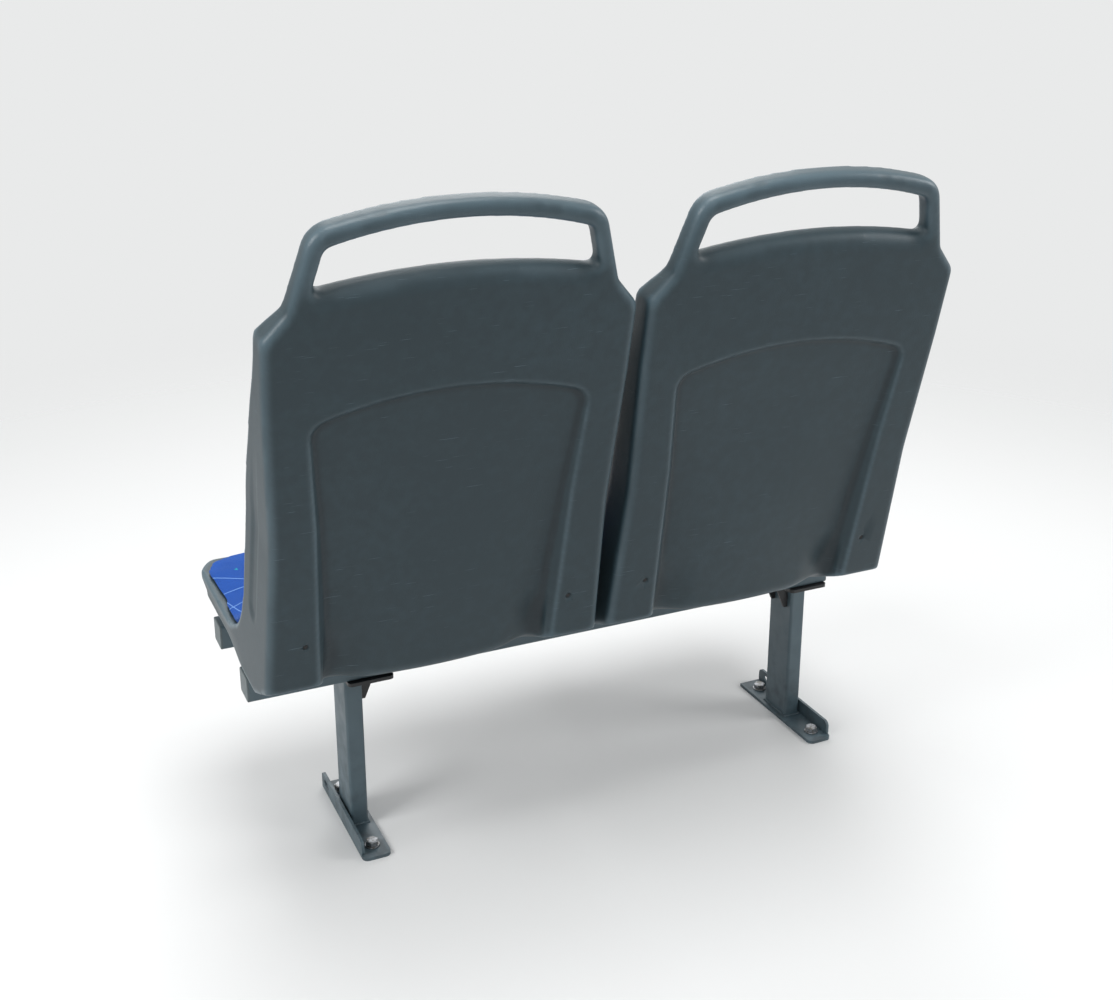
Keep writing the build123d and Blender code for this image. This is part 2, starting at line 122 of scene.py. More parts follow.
def points_of(mesh: bpy.types.Mesh) -> np.ndarray:
    """Places of a mesh's vertices.

    Args:
        mesh: the mesh.

    Returns:
        An array of n by 3.
    """
    flat = np.zeros(len(mesh.vertices) * 3)
    mesh.vertices.foreach_get("co", flat)
    return flat.reshape(-1, 3)


def normals_of(mesh: bpy.types.Mesh) -> np.ndarray:
    """Normals of a mesh's vertices.

    Args:
        mesh: the mesh.

    Returns:
        An array of n by 3.
    """
    flat = np.zeros(len(mesh.vertices) * 3, np.float32)
    mesh.vertex_normals.foreach_get("vector", flat)
    return flat.reshape(-1, 3).astype(float)


def edges_of(mesh: bpy.types.Mesh) -> np.ndarray:
    """Vertex pairs of a mesh's edges.

    Args:
        mesh: the mesh.

    Returns:
        An array of n by 2.
    """
    flat = np.zeros(len(mesh.edges) * 2, np.int64)
    mesh.edges.foreach_get("vertices", flat)
    return flat.reshape(-1, 2)


def move_points(mesh: bpy.types.Mesh, points: np.ndarray) -> None:
    """Puts a mesh's vertices at the given places."""
    mesh.vertices.foreach_set("co", points.ravel())
    mesh.update()


def neighbour_mean(values: np.ndarray, edges: np.ndarray) -> np.ndarray:
    """Mean of each vertex's neighbours, column by column.

    Args:
        values: an array of n vertices by m columns.
        edges: the vertex pairs that are neighbours.

    Returns:
        An array of the same shape as values.
    """
    count = len(values)
    ends = np.concatenate([edges[:, 0], edges[:, 1]])
    others = np.concatenate([edges[:, 1], edges[:, 0]])
    number = np.maximum(np.bincount(ends, minlength=count), 1)
    columns = [np.bincount(ends, values[others, i], count) / number for i in range(values.shape[1])]
    return np.stack(columns, axis=1)


def relax(mesh: bpy.types.Mesh, weight: np.ndarray | float, rounds: int) -> None:
    """Smooths a mesh by moving each vertex towards its neighbours' mean.

    Args:
        mesh: the mesh to smooth.
        weight: how far each vertex goes in a round, from 0 to 1.
        rounds: how many rounds.
    """
    points, edges = points_of(mesh), edges_of(mesh)
    share = np.broadcast_to(np.asarray(weight, float), (len(points),))[:, None]
    for _ in range(rounds):
        points += share * (neighbour_mean(points, edges) - points)
    move_points(mesh, points)


def settle(piece: bpy.types.Object) -> None:
    """Applies every modifier of a piece to its mesh.

    Args:
        piece: the piece.
    """
    depsgraph = bpy.context.evaluated_depsgraph_get()
    done = bpy.data.meshes.new_from_object(piece.evaluated_get(depsgraph), depsgraph=depsgraph)
    piece.modifiers.clear()
    old, piece.data = piece.data, done
    bpy.data.meshes.remove(old)


def new_piece(name: str, mesh: bpy.types.Mesh) -> bpy.types.Object:
    """Links a new object with a mesh, at the origin.

    Args:
        name: the piece's name.
        mesh: its mesh, with its place in its vertices.

    Returns:
        The object.
    """
    piece = bpy.data.objects.new(name, mesh)
    bpy.context.scene.collection.objects.link(piece)
    mesh.name = name
    return piece


def mesh_from(form: bmesh.types.BMesh, name: str) -> bpy.types.Mesh:
    """Turns a bmesh into a mesh and frees it.

    Args:
        form: the bmesh.
        name: the mesh's name.

    Returns:
        The mesh.
    """
    mesh = bpy.data.meshes.new(name)
    form.to_mesh(mesh)
    form.free()
    return mesh


def node_copy(node: bpy.types.Object, name: str) -> bpy.types.Object:
    """A piece with a copy of a CAD node's mesh, its loose triangles merged.

    Args:
        node: the CAD node.
        name: the piece's name.

    Returns:
        The piece.
    """
    form = bmesh.new()
    form.from_mesh(node.data)
    bmesh.ops.remove_doubles(form, verts=form.verts, dist=0.01 * MM)
    return new_piece(name, mesh_from(form, name))


def remesh(piece: bpy.types.Object, voxel: float) -> None:
    """Rebuilds a piece's skin as an even net of quads.

    Args:
        piece: the piece.
        voxel: the size of a quad.
    """
    modifier = piece.modifiers.new("net", "REMESH")
    modifier.mode = "VOXEL"
    modifier.voxel_size = voxel
    settle(piece)


def round_edges(piece: bpy.types.Object, width: float) -> None:
    """Bevels the sharp edges of a piece.

    Args:
        piece: the piece.
        width: the bevel's width.
    """
    bevel = piece.modifiers.new("edges", "BEVEL")
    bevel.width, bevel.segments, bevel.limit_method = width, 2, "ANGLE"
    settle(piece)


def shade_smooth(piece: bpy.types.Object) -> None:
    """Sets every face of a piece to smooth shading."""
    piece.data.polygons.foreach_set("use_smooth", [True] * len(piece.data.polygons))
    piece.data.update()


def dress(piece: bpy.types.Object, material: bpy.types.Material) -> bpy.types.Object:
    """Gives a finished piece its one material and slot, and lets it ride with the seat.

    Args:
        piece: the piece, with its place in its mesh.
        material: its material.

    Returns:
        The same piece.
    """
    piece.data.materials.clear()
    piece.data.materials.append(material)
    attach(piece, "root")
    log.info("%s: %d faces", piece.name, len(piece.data.polygons))
    return piece


def store(mesh: bpy.types.Mesh, name: str, values: np.ndarray) -> None:
    """Stores one number a vertex as an attribute for a material to read."""
    attribute = mesh.attributes.new(name, "FLOAT", "POINT")
    attribute.data.foreach_set("value", values.astype(np.float32))


# ---------------------------------------------------------------- finishes

Source = bpy.types.Node | bpy.types.NodeSocket | float | Sequence[float]
Adder = Callable[..., bpy.types.Node]


def linear(colour: str) -> tuple[float, float, float, float]:
    """Turns an sRGB hex colour into linear values for a shader.

    Args:
        colour: six hex digits after a #.

    Returns:
        Linear red, green and blue, and an alpha of 1.
    """
    parts = [int(colour[i : i + 2], 16) / 255 for i in (1, 3, 5)]
    red, green, blue = (p / 12.92 if p <= 0.04045 else ((p + 0.055) / 1.055) ** 2.4 for p in parts)
    return red, green, blue, 1.0


def feed(node: bpy.types.Node, inputs: dict[str | int, Source]) -> None:
    """Puts values and links into a node's inputs.

    Args:
        node: the node.
        inputs: for each input, by name or number, a value, another node's output, or another
            node where its first output is meant.
    """
    for key, value in inputs.items():
        if isinstance(value, bpy.types.Node):
            value = value.outputs[0]
        if isinstance(value, bpy.types.NodeSocket):
            node.id_data.links.new(value, node.inputs[key])
        else:
            node.inputs[key].default_value = value


def add_node(
    tree: bpy.types.NodeTree, kind: str, inputs: dict[str | int, Source] | None = None, **settings: object
) -> bpy.types.Node:
    """Adds a node with its settings, values and links.

    Args:
        tree: the material's or world's node tree.
        kind: the node's type, without the ShaderNode in front.
        inputs: what goes into its inputs, as for feed.
        settings: the node's own settings.

    Returns:
        The node.
    """
    made = tree.nodes.new("ShaderNode" + kind)
    for name, value in settings.items():
        setattr(made, name, value)
    feed(made, inputs or {})
    return made


@dataclass(frozen=True)
class Finish:
    """A surface as its maker made it."""

    name: str
    colour: str
    roughness: float

    def material(self) -> bpy.types.Material:
        """Builds the material: its shader, with the values that the finish's own nodes give.

        Returns:
            The material.
        """
        material = bpy.data.materials.new(self.name)
        material.use_nodes = True
        tree = material.node_tree
        plain = {"Base Color": linear(self.colour), "Roughness": self.roughness}
        feed(tree.nodes["Principled BSDF"], plain | self.surface(partial(add_node, tree)))
        return material

    def surface(self, add: Adder) -> dict[str, Source]:
        """The finish's own nodes.

        Args:
            add: adds a node to the material.

        Returns:
            What goes into the shader, by input.
        """
        raise NotImplementedError


@dataclass(frozen=True)
class MouldedPolyethylene(Finish):
    """Blow-moulded polyethylene, self-coloured, with the fine leather-like grain of its mould.

    The eye sees a broad soft sheen, edges rubbed paler and smoother by hands and bags, light
    scratches, dirt with painted shade where the skin turns in on the rear face, and a little dust
    lying on what faces up. Its piece has the attribute "worn", and one for the dirt and painted
    shade.
    """

    worn_colour: str = "#7c95a2"
    dust_colour: str = "#6a7577"
    # dark colour of the creases' dirt, and of the shade painted into them
    grime_and_shade_colour: str = "#0c141a"
    worn_share: float = 0.34
    grime_and_shade_share: float = 0.55
    dust_share: float = 0.22
    polish: float = 0.14  # how much smoother the rubbed edges are
    grain: float = 1.6 * MM  # the real grain is 0.6 mm, drawn coarser so that it shows
    scratch_length: float = 40 * MM

    def surface(self, add: Adder) -> dict[str, Source]:
        """Mottle, rubbed edges, dirt with painted shade in the creases, scratches, dust and grain.

        Args:
            add: adds a node to the material.

        Returns:
            What goes into the shader, by input.
        """
        place = add("TexCoord").outputs["Object"]
        cloud = add("TexNoise", {"Vector": place, "Scale": 5.0, "Detail": 3.0})
        mottle = add("TexNoise", {"Vector": place, "Scale": 70.0, "Detail": 4.0})
        fine = add("Math", {0: mottle, 1: 0.25}, operation="MULTIPLY")
        tone = add("Math", {0: cloud, 1: mottle, 2: fine}, operation="MULTIPLY_ADD")
        level = add("MapRange", {"Value": tone, "From Min": 0.3, "From Max": 0.7, "To Min": 0.86, "To Max": 1.14})
        base = add("VectorMath", {0: linear(self.colour)[:3], "Scale": level}, operation="SCALE")

        worn = add("Attribute", attribute_name="worn").outputs["Fac"]
        patchy = add("TexNoise", {"Vector": place, "Scale": 9.0, "Detail": 6.0})
        rubbed = add("MapRange", {"Value": patchy, "From Min": 0.25, "From Max": 0.75, "To Min": 0.45})
        rub = add("Math", {0: worn, 1: rubbed}, operation="MULTIPLY")
        edge = add("Math", {0: rub, 1: self.worn_share}, operation="MULTIPLY")
        # creases of the rear face darkened: some dirt, and painted shade where the panel's step and walls turn in
        grime_and_shade = add("Attribute", attribute_name="grime_and_shade").outputs["Fac"]
        dirt = add("Math", {0: grime_and_shade, 1: self.grime_and_shade_share}, operation="MULTIPLY")
        normal = add("NewGeometry").outputs["Normal"]
        up = add("SeparateXYZ", {0: normal}).outputs["Z"]
        lying = add("MapRange", {"Value": up, "From Min": 0.35, "From Max": 1.0, "To Max": self.dust_share})
        dust = add("Math", {0: lying, 1: cloud}, operation="MULTIPLY")
        colour = base.outputs[0]
        for share, layer in (
            (edge, self.worn_colour),
            (dirt, self.grime_and_shade_colour),
            (self.scratches(add, place), self.worn_colour),
            (dust, self.dust_colour),
        ):
            colour = add("Mix", {0: share, 6: colour, 7: linear(layer)}, data_type="RGBA").outputs[2]

        ends = {"To Min": self.roughness, "To Max": self.roughness - self.polish}
        wave = add("TexNoise", {"Vector": place, "Scale": 22.0, "Detail": 2.0})
        soft = add("Bump", {"Height": wave, "Distance": 1.2 * MM, "Strength": 0.25})
        pebble = add(
            "TexVoronoi", {"Vector": place, "Scale": 1.0 / self.grain, "Smoothness": 0.6}, feature="SMOOTH_F1"
        ).outputs["Distance"]
        return {
            "Base Color": colour,
            "Roughness": add("MapRange", {"Value": rub, **ends}),
            "Specular IOR Level": 0.4,
            "Normal": add("Bump", {"Height": pebble, "Distance": 0.25 * MM, "Strength": 0.35, "Normal": soft}),
        }

    def scratches(self, add: Adder, place: bpy.types.NodeSocket) -> bpy.types.Node:
        """Sparse thin scratches, at two slants.

        Args:
            add: adds a node to the material.
            place: the coordinates.

        Returns:
            How much of a scratch shows, from 0 to about 0.35.
        """
        shown = []
        for slant, fineness in ((0.12, 1400.0), (-0.35, 1100.0)):
            stretch = (1.0 / self.scratch_length, 25.0, fineness)
            turned = add("Mapping", {"Vector": place, "Rotation": (0.0, slant, 0.0), "Scale": stretch})
            streak = add("TexNoise", {"Vector": turned, "Scale": 1.0, "Detail": 1.0})
            shown.append(add("MapRange", {"Value": streak, "From Min": 0.775, "From Max": 0.82, "To Max": 0.35}))
        return add("Math", {0: shown[0], 1: shown[1]}, operation="MAXIMUM")


@dataclass(frozen=True)
class Moquette(Finish):
    """Woven wool moquette with a short cut pile, the hard-wearing cloth of bus seats.

    The eye sees a deep even colour with a soft bloom at grazing angles, fine rows of pile, and a
    woven pattern of thin crossing lines with small triangles. Its piece has the UV map "cloth",
    in metres.
    """

    fleck_colour: str = "#173d82"
    line_colour: str = "#84ade4"
    mark_colour: str = "#22a7a4"
    bloom_colour: str = "#9dbdea"
    pile: float = 1.4 * MM  # the real pile rows are 0.7 mm apart, drawn coarser so that they show
    line_width: float = 1.5 * MM
    lines: tuple[tuple[float, float, float], ...] = (  # slant, spacing and start of each set
        (18.0, 0.173, 0.02),
        (-31.0, 0.211, 0.07),
        (64.0, 0.257, 0.11),
        (-74.0, 0.229, 0.04),
        (4.0, 0.307, 0.19),
    )
    mark_cell: float = 0.095
    mark_radius: float = 2.5 * MM

    def surface(self, add: Adder) -> dict[str, Source]:
        """Flecked ground, woven lines and triangles, pile and bloom.

        Args:
            add: adds a node to the material.

        Returns:
            What goes into the shader, by input.
        """
        cloth = add("UVMap", uv_map="cloth").outputs[0]
        fleck = add("TexNoise", {"Vector": cloth, "Scale": 1.0 / self.pile, "Detail": 2.0})
        fade = add("TexNoise", {"Vector": cloth, "Scale": 9.0, "Detail": 3.0})
        share = add("MapRange", {"Value": fleck, "From Min": 0.42, "From Max": 0.62})
        pair = {6: linear(self.colour), 7: linear(self.fleck_colour)}
        ground = add("Mix", {0: share, **pair}, data_type="RGBA").outputs[2]
        level = add("MapRange", {"Value": fade, "From Min": 0.3, "From Max": 0.7, "To Min": 0.88, "To Max": 1.12})
        colour = add("VectorMath", {0: ground, "Scale": level}, operation="SCALE").outputs[0]
        for share, woven in (
            (self.line_share(add, cloth, fleck), self.line_colour),
            (self.mark_share(add, cloth, fleck), self.mark_colour),
        ):
            colour = add("Mix", {0: share, 6: colour, 7: linear(woven)}, data_type="RGBA").outputs[2]
        rows = add(
            "TexWave",
            {"Vector": cloth, "Scale": 1.0 / self.pile / 3.2, "Distortion": 1.2, "Detail": 2.0},
            bands_direction="Y",
        ).outputs["Fac"]
        tufts = add("TexNoise", {"Vector": cloth, "Scale": 1.6 / self.pile, "Detail": 2.0})
        height = add("Math", {0: rows, 1: tufts}, operation="ADD")
        return {
            "Base Color": colour,
            "Sheen Weight": 0.18,
            "Sheen Roughness": 0.45,
            "Sheen Tint": linear(self.bloom_colour),
            "Specular IOR Level": 0.2,
            "Normal": add("Bump", {"Height": height, "Distance": 0.35 * MM, "Strength": 0.5}),
        }

    def line_share(self, add: Adder, cloth: bpy.types.NodeSocket, fleck: bpy.types.Node) -> bpy.types.Node:
        """Where the woven lines run, broken a little by the pile.

        Args:
            add: adds a node to the material.
            cloth: the cloth's own coordinates, in metres.
            fleck: a fine noise that frays the lines.

        Returns:
            From 0 off the lines to 0.62 on them.
        """
        half = self.line_width / 2
        total: Source = 0.0
        for slant, spacing, start in self.lines:
            angle = math.radians(slant)
            way = (-math.sin(angle), math.cos(angle), 0.0)
            across = add("VectorMath", {0: cloth, 1: way}, operation="DOT_PRODUCT").outputs["Value"]
            moved = add("Math", {0: across, 1: start}, operation="ADD")
            fold = add("Math", {0: moved, 1: spacing / 2}, operation="PINGPONG")
            frayed = add("Math", {0: fleck, 1: 1.1 * MM, 2: fold}, operation="MULTIPLY_ADD")
            near = add("MapRange", {"Value": frayed, "From Min": half + 0.9 * MM, "From Max": half + 0.3 * MM})
            total = add("Math", {0: total, 1: near}, operation="MAXIMUM")
        return add("Math", {0: total, 1: 0.62}, operation="MULTIPLY")

    def mark_share(self, add: Adder, cloth: bpy.types.NodeSocket, fleck: bpy.types.Node) -> bpy.types.Node:
        """Where the small woven triangles stand, one to a cell of a loose grid.

        Args:
            add: adds a node to the material.
            cloth: the cloth's own coordinates, in metres.
            fleck: a fine noise that frays the triangles.

        Returns:
            From 0 off the triangles to 0.7 on them.
        """
        cells = {"Vector": cloth, "Scale": 1.0 / self.mark_cell, "Randomness": 0.85}
        grid = add("TexVoronoi", cells, voronoi_dimensions="2D")
        local = add("VectorMath", {0: cloth, 1: grid.outputs["Position"]}, operation="SUBTRACT")
        hue = add("SeparateXYZ", {0: grid.outputs["Color"]})
        turn = add("Math", {0: hue, 1: 6.28}, operation="MULTIPLY")
        turned = add("VectorRotate", {"Vector": local, "Angle": turn}, rotation_type="Z_AXIS")
        worst: Source = -1.0
        for angle in (90.0, 215.0, 330.0):
            side = math.radians(angle)
            way = (math.cos(side), math.sin(side), 0.0)
            reach = add("VectorMath", {0: turned, 1: way}, operation="DOT_PRODUCT").outputs["Value"]
            worst = add("Math", {0: worst, 1: reach}, operation="MAXIMUM")
        frayed = add("Math", {0: fleck, 1: 1.4 * MM, 2: worst}, operation="MULTIPLY_ADD")
        radius = self.mark_radius
        inside = add("MapRange", {"Value": frayed, "From Min": radius + 0.7 * MM, "From Max": radius - 0.3 * MM})
        return add("Math", {0: inside, 1: 0.7}, operation="MULTIPLY")


@dataclass(frozen=True)
class PowderCoat(Finish):
    """Powder coat baked on mild steel: a tough skin with orange peel and a half gloss.

    The eye sees a slightly rippled sheen, darker dirt near the floor and small scuffs from shoes.
    """

    scuff_colour: str = "#2b2d2f"
    dirt_share: float = 0.45
    dirt_height: float = 0.16
    peel: float = 3.0 * MM

    def surface(self, add: Adder) -> dict[str, Source]:
        """Mottle, dirt near the floor, smears and orange peel.

        Args:
            add: adds a node to the material.

        Returns:
            What goes into the shader, by input.
        """
        place = add("TexCoord").outputs["Object"]
        cloud = add("TexNoise", {"Vector": place, "Scale": 18.0, "Detail": 5.0})
        level = add("MapRange", {"Value": cloud, "From Min": 0.3, "From Max": 0.7, "To Min": 0.88, "To Max": 1.12})
        base = add("VectorMath", {0: linear(self.colour)[:3], "Scale": level}, operation="SCALE")
        height = add("SeparateXYZ", {0: place}).outputs["Z"]
        near_floor = {"From Min": self.dirt_height, "From Max": 0.0, "To Max": self.dirt_share}
        low = add("MapRange", {"Value": height, **near_floor})
        smear = add("TexNoise", {"Vector": place, "Scale": 45.0, "Detail": 6.0})
        spots = add("MapRange", {"Value": smear, "From Min": 0.48, "From Max": 0.66})
        dirt = add("Math", {0: low, 1: spots}, operation="MULTIPLY")
        pair = {6: base, 7: linear(self.scuff_colour)}
        ends = {"To Min": self.roughness - 0.05, "To Max": self.roughness + 0.12}
        peel = add("TexNoise", {"Vector": place, "Scale": 1.0 / self.peel, "Detail": 1.0})
        return {
            "Base Color": add("Mix", {0: dirt, **pair}, data_type="RGBA").outputs[2],
            "Roughness": add("MapRange", {"Value": smear, "From Min": 0.3, "From Max": 0.7, **ends}),
            "Normal": add("Bump", {"Height": peel, "Distance": 0.12 * MM, "Strength": 0.3}),
        }


@dataclass(frozen=True)
class ZincPlated(Finish):
    """Zinc-plated steel, as on bolts: a dull bluish silver, greyer where it has weathered."""

    dull_colour: str = "#6d6a64"

    def surface(self, add: Adder) -> dict[str, Source]:
        """Metal with a weathered bloom.

        Args:
            add: adds a node to the material.

        Returns:
            What goes into the shader, by input.
        """
        place = add("TexCoord").outputs["Object"]
        bloom = add("TexNoise", {"Vector": place, "Scale": 260.0, "Detail": 4.0})
        share = add("MapRange", {"Value": bloom, "From Min": 0.42, "From Max": 0.68})
        pair = {6: linear(self.colour), 7: linear(self.dull_colour)}
        ends = {"To Min": self.roughness - 0.1, "To Max": self.roughness + 0.2}
        return {
            "Metallic": 1.0,
            "Base Color": add("Mix", {0: share, **pair}, data_type="RGBA").outputs[2],
            "Roughness": add("MapRange", {"Value": bloom, **ends}),
        }


@dataclass(frozen=True)
class MouldedCap(Finish):
    """Injection-moulded polypropylene end cap: a plain satin skin with a faint flow mottle."""

    def surface(self, add: Adder) -> dict[str, Source]:
        """Flow mottle in tone and relief.

        Args:
            add: adds a node to the material.

        Returns:
            What goes into the shader, by input.
        """
        place = add("TexCoord").outputs["Object"]
        flow = add("TexNoise", {"Vector": place, "Scale": 120.0, "Detail": 4.0})
        level = add("MapRange", {"Value": flow, "From Min": 0.3, "From Max": 0.7, "To Min": 0.85, "To Max": 1.1})
        return {
            "Base Color": add("VectorMath", {0: linear(self.colour)[:3], "Scale": level}, operation="SCALE"),
            "Normal": add("Bump", {"Height": flow, "Distance": 0.2 * MM, "Strength": 0.2}),
        }


# ---------------------------------------------------------------- shells


def screw_place(x: float, height: float, out: float) -> Matrix:
    """Place of a screw through a rear face: local +Z points out of the face.

    Args:
        x: across the seat.
        height: up the leaning back.
        out: how far out of the rear face.

    Returns:
        The matrix of that place.
    """
    y, z = on_back(height, -out)
    return Matrix.Translation((x, y, z)) @ Matrix.Rotation(-math.pi / 2 - RECLINE, 4, "X")


@dataclass
class Shell:
    """A blow-moulded shell: back, grab handle and pan in one hollow piece.

    Heights run up the leaning back, depths forward from its rear face, reaches forward from its
    rear bottom edge, and widths out from the shell's middle. A share of a width is of panel_half.
    """

    side: Side
    node: bpy.types.Object
    material: bpy.types.Material
    voxel: float = 2.4 * MM
    quick_voxel: float = 4.32 * MM
    most_faces: int = 186_000

    slot_low: tuple[float, float, float] = (0.5115, 0.0155, 0.163)  # height, arch and half width
    lip_roll: float = 9.0 * MM
    lip_height: float = 24.0 * MM
    lip_widths: Band = (0.166, 0.142)
    lip_depths: Band = (0.026, 0.006)
    lip_top: Band = (0.012, 0.002)  # above the slot's edge
    lip_soft_widths: Band = (0.176, 0.150)
    lip_soft_depths: Band = (0.026, 0.014)
    lip_soft_heights: Band = (0.030, 0.012)  # from the slot's edge
    handle_heights: Band = (SHOULDER + 0.010, SHOULDER + 0.050)
    handle_depths: Band = (0.012, 0.020)

    panel_half: float = 0.138
    panel_swell: float = 8.0 * MM
    panel_depth: float = 0.024
    turn_reach: float = 0.075  # how far under the pan the belly turns
    belly_heights: Band = (0.330, 0.060)
    belly_reaches: Band = (0.072, 0.020)
    belly_soft: tuple[Band, Band, Band] = ((0.075, 0.030), (0.075, 0.045), (1.04, 0.94))
    end_shares: tuple[Band, Band] = ((0.60, 0.94), (1.06, 0.98))
    end_heights: Band = (0.085, 0.015)
    end_soft: tuple[Band, Band, Band] = ((0.110, 0.060), (0.50, 0.75), (1.05, 0.99))

    wing_front: tuple[tuple[float, float], ...] = ((-0.021, 0.122), (0.227, 0.114), (0.422, 0.042))
    groove_depth: float = 2.6 * MM
    groove_low: float = 0.060
    groove_fade: Band = (0.330, 0.190)
    groove_shares: tuple[float, float] = (0.60, 0.16)  # its middle and half width, of the wing's depth
    side_turn: Band = (0.6, 0.9)  # how far a side face is turned outward

    pan_tuck: float = 6.0 * MM
    tuck_levels: Band = (PAN_RIM, 0.316)
    tuck_reaches: Band = (0.110, 0.240)
    tuck_widths: Band = (0.150, 0.205)

    wear_and_shade_rounds: int = 24
    rub_bends: Band = (0.25 * MM, 1.6 * MM)
    handle_rub: float = 0.30
    handle_rub_heights: Band = (SHOULDER + 0.02, SHOULDER + 0.12)
    # how far the skin bends in, and where on the rear face, for dirt with painted shade in the creases
    grime_and_shade_bends: Band = (0.10 * MM, 0.9 * MM)
    grime_and_shade_heights: Band = (0.470, 0.430)
    grime_and_shade_depths: Band = (0.040, 0.020)

    screw_spread: float = 0.169
    screw_height: float = 0.062
    well_radius: float = 3.7 * MM
    well_depth: float = 2.6 * MM
    well_flare: float = 1.15

    def build(self) -> bpy.types.Object:
        """Makes the shell's skin: soft edges, swollen panel, side grooves, wells, wear and painted shade.

        Returns:
            The finished piece, which stands for its CAD node.
        """
        piece = node_copy(self.node, f"{self.side.value}_seat_shell")
        remesh(piece, self.voxel)
        relax(piece.data, 0.5, 3)
        self.roll_lip(piece.data)
        self.swell_panel(piece.data)
        self.press_grooves(piece.data)
        self.tuck_pan(piece.data)
        relax(piece.data, 0.5, 2)
        self.mark_wear_and_shade(piece.data)
        self.drill_wells(piece)
        self.thin_out(piece)
        shade_smooth(piece)
        dress(piece, self.material)
        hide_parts(self.node.name)
        return piece

    def centre_x(self) -> float:
        """X of the shell's middle."""
        low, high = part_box(self.node.name)
        return (low.x + high.x) / 2

    def roll_lip(self, mesh: bpy.types.Mesh) -> None:
        """Rolls the rear face forward into the grab slot's lower edge, and rounds the handle's front.

        Args:
            mesh: the shell's mesh.
        """
        points = points_of(mesh)
        height, forward = back_coordinates(points)
        outward = np.abs(points[:, 0] - self.centre_x())
        low, arch, half = self.slot_low
        above = height - (low + arch * np.clip(1.0 - (outward / half) ** 2, 0.0, 1.0))
        below = np.clip(-above / self.lip_height, 0.0, 1.0)
        rolled = self.lip_roll * (1.0 - below) ** 2 * ease(forward, *self.lip_depths)
        rolled *= ease(outward, *self.lip_widths) * ease(above, *self.lip_top)
        points[:, 1] -= rolled * math.cos(RECLINE)
        points[:, 2] += rolled * math.sin(RECLINE)
        move_points(mesh, points)
        lip = ease(np.abs(above), *self.lip_soft_heights) * ease(forward, *self.lip_soft_depths)
        relax(mesh, 0.5 * lip * ease(outward, *self.lip_soft_widths), 10)
        handle_front = ease(height, *self.handle_heights) * ease(forward, *self.handle_depths)
        relax(mesh, 0.5 * handle_front, 14)

    def swell_panel(self, mesh: bpy.types.Mesh) -> None:
        """Swells the rear panel's lower middle into a belly that draws in at both walls.

        Args:
            mesh: the shell's mesh.
        """
        points, normals = points_of(mesh), normals_of(mesh)
        height, forward = back_coordinates(points)
        reach = REAR_EDGE[0] - points[:, 1]
        share = np.abs(points[:, 0] - self.centre_x()) / self.panel_half
        middle = np.clip(1.0 - share**2, 0.0, 1.0) * ease(height, *self.belly_heights)
        inner, outer = self.end_shares
        ends = ease(share, *inner) * ease(share, *outer) * ease(height, *self.end_heights)
        under = (points[:, 2] < PAN_RIM) & (reach < self.turn_reach) & (normals[:, 2] < 0.0)
        behind = (forward < self.panel_depth) | under
        heights, reaches, shares = self.belly_soft
        belly = ease(height, *heights) * ease(reach, *reaches) * ease(share, *shares)
        relax(mesh, 0.5 * belly * behind, 50)
        amount = self.panel_swell * (middle - ends) * ease(reach, *self.belly_reaches) * behind
        move_points(mesh, points_of(mesh) + normals * amount[:, None])
        heights, inner, outer = self.end_soft
        drawn = ease(height, *heights) * ease(share, *inner) * ease(share, *outer)
        relax(mesh, 0.5 * drawn * behind, 30)

    def press_grooves(self, mesh: bpy.types.Mesh) -> None:
        """Presses a long shallow groove into each side face, ending round near the pan.

        Args:
            mesh: the shell's mesh.
        """
        points, normals = points_of(mesh), normals_of(mesh)
        height, forward = back_coordinates(points)
        middle, half = (np.interp(height, *zip(*self.wing_front)) * share for share in self.groove_shares)
        across = np.abs(forward - middle) / half
        along = np.clip((self.groove_low + half - height) / half, 0.0, None)
        inside = ease(np.sqrt(across**2 + along**2), 1.05, 0.35)
        inside *= ease(height, *self.groove_fade) * ease(np.abs(normals[:, 0]), *self.side_turn)
        points[:, 0] -= np.sign(points[:, 0] - self.centre_x()) * self.groove_depth * inside
        move_points(mesh, points)

    def tuck_pan(self, mesh: bpy.types.Mesh) -> None:
        """Draws the pan's side walls in a little below their rim.

        Args:
            mesh: the shell's mesh.
        """
        points = points_of(mesh)
        sideways = points[:, 0] - self.centre_x()
        tuck = ease(points[:, 2], *self.tuck_levels) * ease(np.abs(sideways), *self.tuck_widths)
        tuck *= ease(REAR_EDGE[0] - points[:, 1], *self.tuck_reaches)
        points[:, 0] -= np.sign(sideways) * self.pan_tuck * tuck
        move_points(mesh, points)

    def mark_wear_and_shade(self, mesh: bpy.types.Mesh) -> None:
        """Stores where hands and bags rub, and where dirt gathers with painted shade, from how the skin bends.

        Args:
            mesh: the shell's mesh.
        """
        points, normals, edges = points_of(mesh), normals_of(mesh), edges_of(mesh)
        smooth = points
        for _ in range(self.wear_and_shade_rounds):
            smooth = 0.5 * smooth + 0.5 * neighbour_mean(smooth, edges)
        bend = ((points - smooth) * normals).sum(axis=1)
        height, forward = back_coordinates(points)
        handle = self.handle_rub * ease(height, *self.handle_rub_heights)
        store(mesh, "worn", np.clip(ease(bend, *self.rub_bends) + handle, 0.0, 1.0))
        # dirt and painted shade in the creases of the rear face, below the shoulder
        low = ease(forward, *self.grime_and_shade_depths) * ease(height, *self.grime_and_shade_heights)
        store(mesh, "grime_and_shade", ease(-bend, *self.grime_and_shade_bends) * low)

